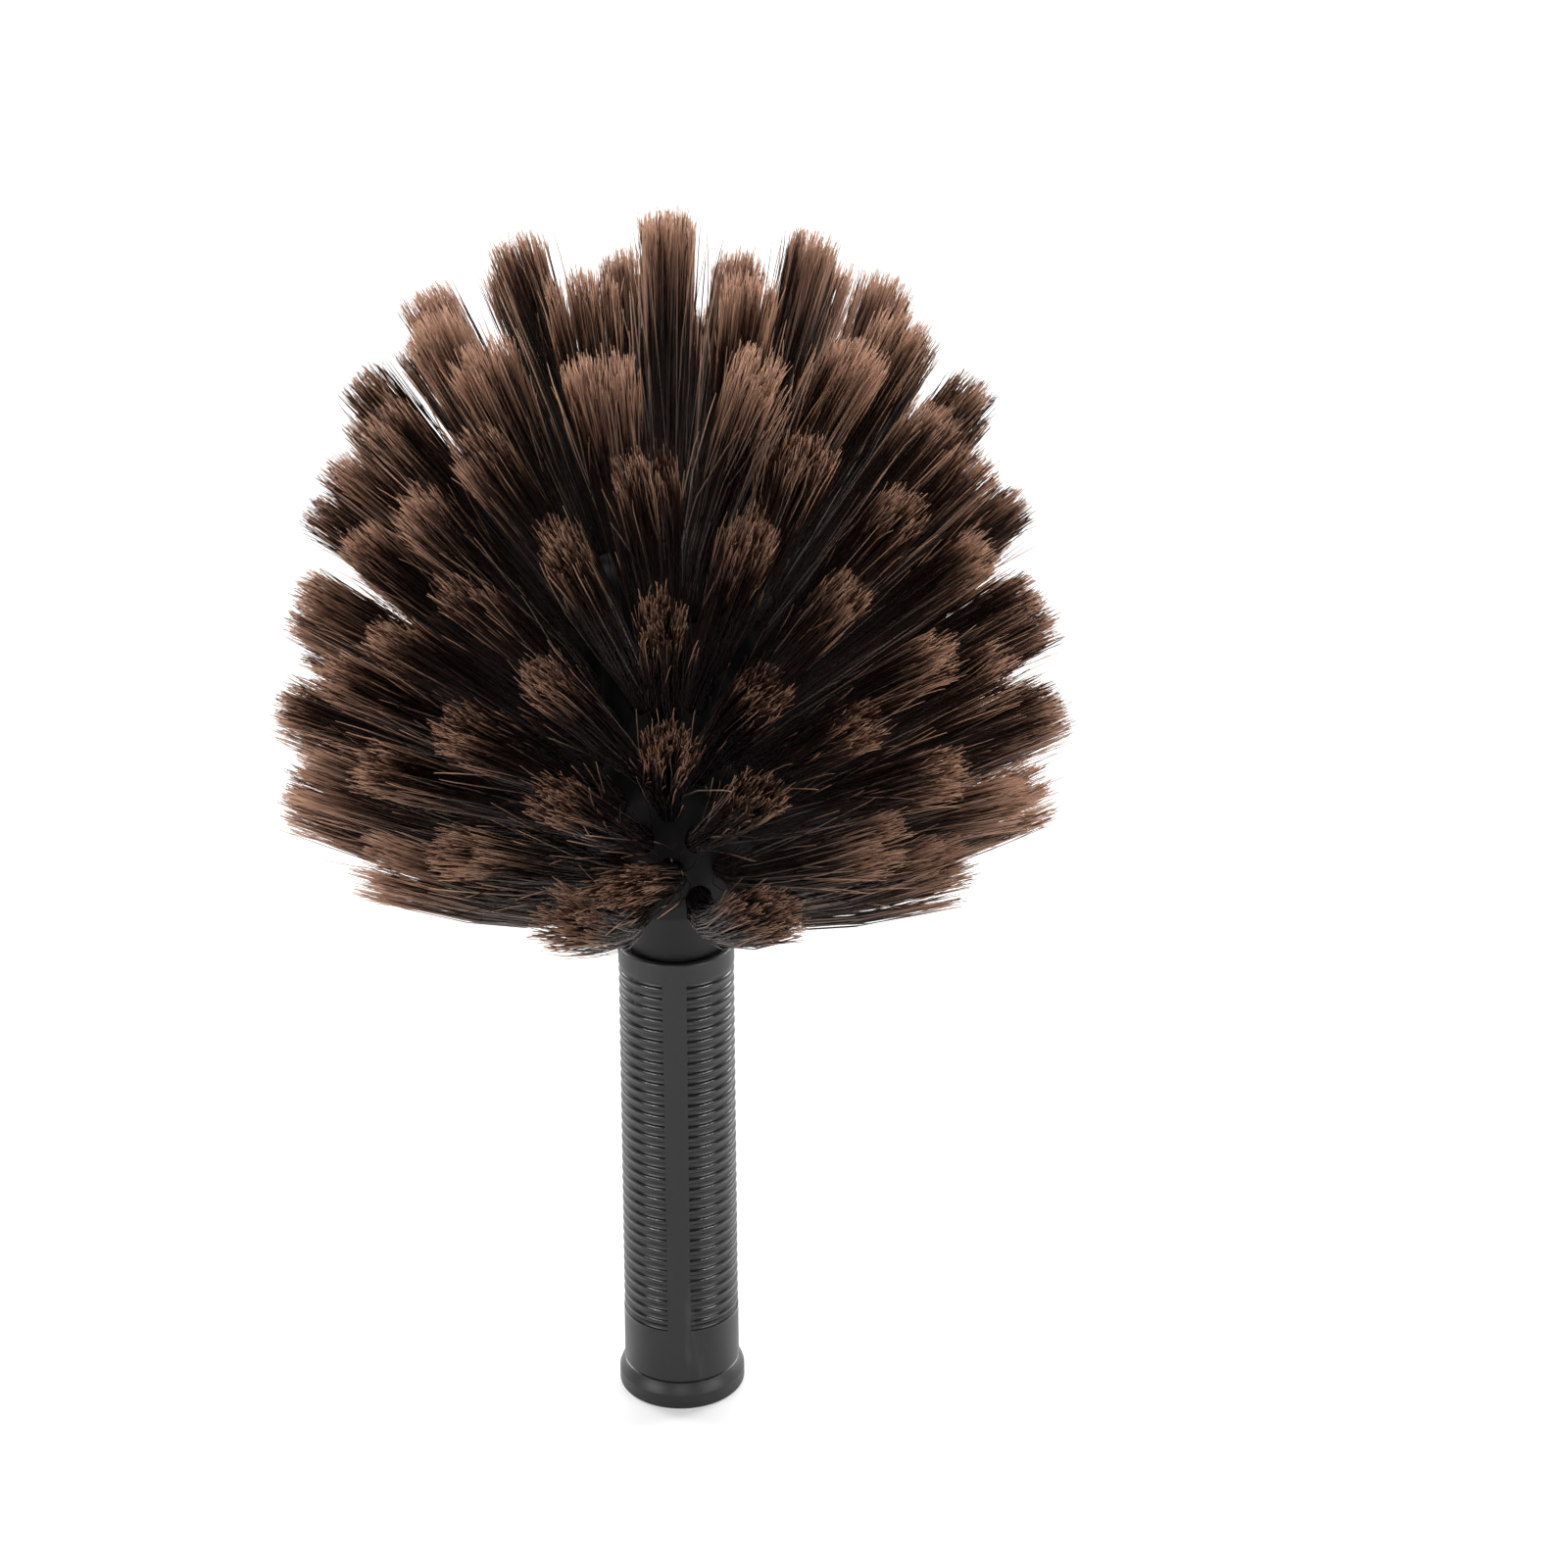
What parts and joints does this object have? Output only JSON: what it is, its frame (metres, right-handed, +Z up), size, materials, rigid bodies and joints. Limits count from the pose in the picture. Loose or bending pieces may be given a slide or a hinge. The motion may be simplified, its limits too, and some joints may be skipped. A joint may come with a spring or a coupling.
{
  "type": "cobweb brush",
  "caption": "Domed cobweb brush: rings of flared bristle tufts on a plastic block, with a neck that plugs into a ribbed grip handle threaded for a pole.",
  "frame": {"origin": "centre of the handle's foot, on the surface that the brush stands on", "axes": "+Z up along the brush's axis, from the handle's foot to the crown of the bristles; the plain bands of the handle face -Y and +Y"},
  "size_m": [0.1502, 0.1502, 0.24],
  "materials": {
    "handle_plastic": "satin black moulded plastic",
    "neck_plastic": "satin dark grey moulded plastic",
    "block_plastic": "matte black moulded plastic",
    "bristle": "fine brown plastic filaments, near black at the root and tan at the flagged tips",
    "anchor_wire": "flat drawn steel wire"
  },
  "bodies": {
    "handle": {"handle_grip": "handle_plastic"},
    "brush_head": {"neck_plug": "neck_plastic", "tuft_block": "block_plastic", "tuft_anchors": "anchor_wire", "tufts_ring_01": "bristle", "tufts_ring_02": "bristle", "tufts_ring_03": "bristle", "tufts_ring_04": "bristle", "tufts_ring_05": "bristle", "tufts_ring_06": "bristle", "tufts_ring_07": "bristle", "tufts_ring_08": "bristle", "tufts_ring_09": "bristle", "tufts_ring_10": "bristle", "tuft_crown": "bristle"}
  },
  "joints": [
    {"name": "head_pull_off", "type": "slide", "parent": "handle", "child": "brush_head", "axis": [0, 0, 1], "range_m": [0, 0.034]}
  ]
}
